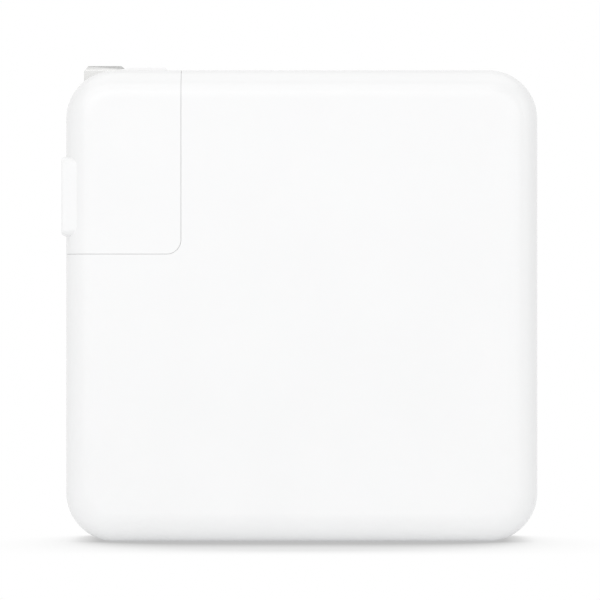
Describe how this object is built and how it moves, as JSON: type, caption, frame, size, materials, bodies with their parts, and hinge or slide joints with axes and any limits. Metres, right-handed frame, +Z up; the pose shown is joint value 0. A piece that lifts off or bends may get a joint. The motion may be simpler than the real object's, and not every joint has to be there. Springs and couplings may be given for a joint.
{
  "type": "laptop power adapter",
  "caption": "Square white laptop power adapter with a USB-C socket, and a slide-off corner wall plug whose two flat blades fold up into slots.",
  "frame": {"origin": "centre of the flat bottom side that the adapter stands on", "axes": "+X to the right of someone who faces the front face, with the plug at -X; +Y from the front face to the rear face; +Z up"},
  "size_m": [0.0746, 0.0286, 0.0748],
  "materials": {
    "white_case": "smooth gloss",
    "white_inner": "smooth moulded",
    "plated_blade": "nickel plate, fine brushed",
    "spring_steel": "satin",
    "dark_plastic": "moulded",
    "contact_brass": "plated",
    "board": "solder mask",
    "copper": "bare",
    "ferrite": "fired",
    "capacitor_can": "sleeved",
    "bare_aluminium": "mill finish",
    "film_box": "moulded",
    "blue_disc": "dipped",
    "insulating_film": "film",
    "thermal_pad": "soft",
    "live_sleeve": "smooth",
    "neutral_sleeve": "smooth",
    "ground_sleeve": "smooth"
  },
  "bodies": {
    "adapter": {"front_shell": "white_case", "rear_shell": "white_case", "inlet_housing": "white_inner", "inlet_pins": "plated_blade", "ground_stud": "plated_blade", "ground_nut": "contact_brass", "usb_c_shell": "spring_steel", "usb_c_tongue": "dark_plastic", "usb_c_contacts": "contact_brass", "output_board": "board", "main_board": "board", "board_headers": "dark_plastic", "bulk_capacitors": "capacitor_can", "transformer_core": "ferrite", "transformer_bobbin": "film_box", "transformer_winding": "copper", "choke_core": "ferrite", "choke_windings": "copper", "filter_capacitor": "film_box", "fuse": "dark_plastic", "surge_limiter": "blue_disc", "bridge_rectifier": "dark_plastic", "heat_sink": "bare_aluminium", "power_transistor": "dark_plastic", "transistor_screw": "spring_steel", "safety_capacitor": "blue_disc", "opto_coupler": "dark_plastic", "controller_chips": "dark_plastic", "output_capacitors": "capacitor_can", "output_inductor": "ferrite", "isolation_barrier": "insulating_film", "front_heat_spreader": "copper", "rear_heat_spreader": "copper", "front_insulator": "insulating_film", "rear_insulator": "insulating_film", "thermal_pads": "thermal_pad", "live_wire": "live_sleeve", "neutral_wire": "neutral_sleeve", "ground_wire": "ground_sleeve"},
    "plug": {"plug_shell": "white_case", "plug_base": "white_inner", "plug_nose": "white_inner", "plug_contact_front": "contact_brass", "plug_contact_rear": "contact_brass", "hinge_pins": "spring_steel", "detent_spring": "spring_steel"},
    "blades": {"blade_barrel": "white_inner", "blade_front": "plated_blade", "blade_rear": "plated_blade"}
  },
  "joints": [
    {"name": "plug_slide", "type": "slide", "parent": "adapter", "child": "plug", "axis": [0, 0, 1], "range_m": [0, 0.024]},
    {"name": "blades_fold", "type": "hinge", "parent": "plug", "child": "blades", "pos_m": [-0.0326, 0, 0.0526], "axis": [0, -1, 0], "range_deg": [0, 90]}
  ]
}
